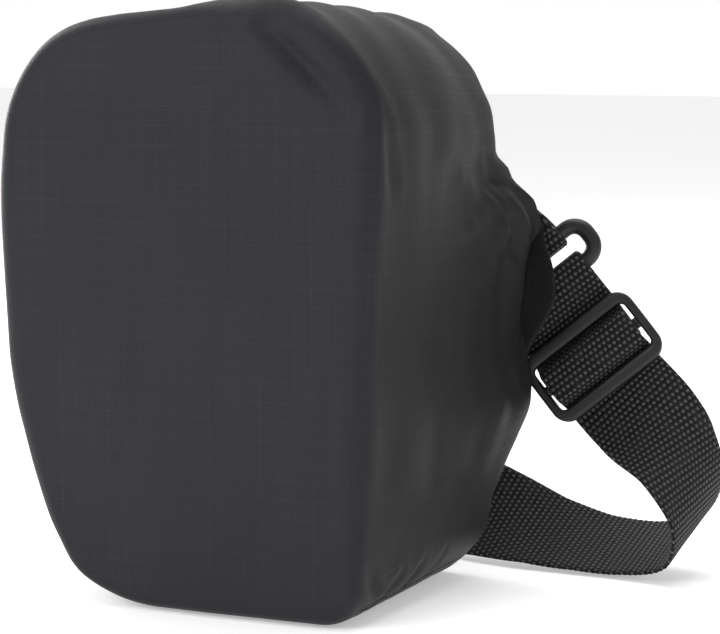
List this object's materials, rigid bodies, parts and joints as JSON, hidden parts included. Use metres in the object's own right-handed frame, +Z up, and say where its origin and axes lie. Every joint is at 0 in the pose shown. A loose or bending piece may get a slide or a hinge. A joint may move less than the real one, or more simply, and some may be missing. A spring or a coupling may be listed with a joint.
{
  "type": "tail bag",
  "caption": "Upright padded tail bag with a rounded zip lid, a fitted gathered rain cover, a strap ring and a shoulder strap with a three-bar slider.",
  "frame": {"origin": "middle of the flat base that the covered bag stands on", "axes": "+Z up, the front panel faces -Y, the strap ring is on the +X side"},
  "size_m": [0.2456, 0.2019, 0.1974],
  "materials": {
    "bag_fabric": "dense woven nylon over foam",
    "piping": "woven binding over cord",
    "lining": "smooth plain lining",
    "board": "grained sheet",
    "zip_tape": "knitted zip tape",
    "zip_coil": "nylon coil",
    "zip_metal": "black lacquer over zinc",
    "ripstop": "coated ripstop nylon, fine grid",
    "elastic": "covered elastic cord",
    "webbing": "heavy ribbed nylon webbing",
    "moulded_plastic": "satin moulded acetal"
  },
  "bodies": {
    "bag": {"front_panel": "bag_fabric", "back_panel": "bag_fabric", "base_panel": "bag_fabric", "side_panel_left": "bag_fabric", "side_panel_right": "bag_fabric", "body_piping": "piping", "body_liner": "lining", "base_board": "board", "lower_zip_tape": "zip_tape", "lower_zip_coil": "zip_coil", "hinge_strip": "bag_fabric", "ring_tab": "webbing", "ring_patch": "webbing", "strap_patch": "webbing", "strap_rise": "webbing", "strap_folds": "webbing", "strap_loop": "webbing"},
    "lid": {"lid_front": "bag_fabric", "lid_back": "bag_fabric", "lid_top": "bag_fabric", "lid_piping": "piping", "lid_liner": "lining", "upper_zip_tape": "zip_tape", "upper_zip_coil": "zip_coil"},
    "zip_slider_left": {"zip_slider_left": "zip_metal"},
    "zip_slider_right": {"zip_slider_right": "zip_metal"},
    "zip_pull_left": {"zip_pull_left": "zip_metal"},
    "zip_pull_right": {"zip_pull_right": "zip_metal"},
    "rain_cover": {"cover_front": "ripstop", "cover_base": "ripstop", "cover_band": "ripstop", "cover_hem": "ripstop", "hem_elastic": "elastic"},
    "strap_ring": {"strap_ring": "moulded_plastic", "strap_end": "webbing", "strap_threaded": "webbing"},
    "strap_slider": {"strap_slider": "moulded_plastic"}
  },
  "joints": [
    {"name": "cover_pull_off", "type": "slide", "parent": "bag", "child": "rain_cover", "axis": [0, -1, 0], "range_m": [0, 0.16], "deforming": ["cover_front", "cover_base", "cover_band", "cover_hem", "hem_elastic"]},
    {"name": "lid_open", "type": "hinge", "parent": "bag", "child": "lid", "pos_m": [0, 0.04945, 0.152], "axis": [-1, 0, 0], "range_deg": [0, 95], "deforming": ["cover_front", "cover_base", "cover_band", "cover_hem", "hem_elastic", "hinge_strip"]},
    {"name": "zip_left_slide", "type": "slide", "parent": "bag", "child": "zip_slider_left", "axis": [-1, 0, 0], "range_m": [0, 0.042], "deforming": ["cover_front", "cover_base", "cover_band", "cover_hem", "hem_elastic"]},
    {"name": "zip_right_slide", "type": "slide", "parent": "bag", "child": "zip_slider_right", "axis": [1, 0, 0], "range_m": [0, 0.042], "deforming": ["cover_front", "cover_base", "cover_band", "cover_hem", "hem_elastic"]},
    {"name": "zip_pull_left_swing", "type": "hinge", "parent": "zip_slider_left", "child": "zip_pull_left", "pos_m": [-0.008, -0.0494, 0.152], "axis": [-1, 0, 0], "range_deg": [0, 120], "deforming": ["cover_front", "cover_base", "cover_band", "cover_hem", "hem_elastic"]},
    {"name": "zip_pull_right_swing", "type": "hinge", "parent": "zip_slider_right", "child": "zip_pull_right", "pos_m": [0.008, -0.0494, 0.152], "axis": [-1, 0, 0], "range_deg": [0, 120], "deforming": ["cover_front", "cover_base", "cover_band", "cover_hem", "hem_elastic"]},
    {"name": "ring_swing", "type": "hinge", "parent": "bag", "child": "strap_ring", "pos_m": [0.06667, 0.06629, 0.10712], "axis": [0.7351, 0.25, 0.6301], "range_deg": [-5, 25], "deforming": ["strap_loop", "strap_threaded", "strap_end", "cover_base", "cover_band", "cover_hem", "hem_elastic"]},
    {"name": "strap_slider_slide", "type": "slide", "parent": "strap_ring", "child": "strap_slider", "axis": [-0.6447, -0.0294, 0.7639], "range_m": [-0.006, 0.006], "deforming": ["strap_loop", "strap_threaded", "strap_end", "cover_base", "cover_band", "cover_hem", "hem_elastic"]}
  ]
}
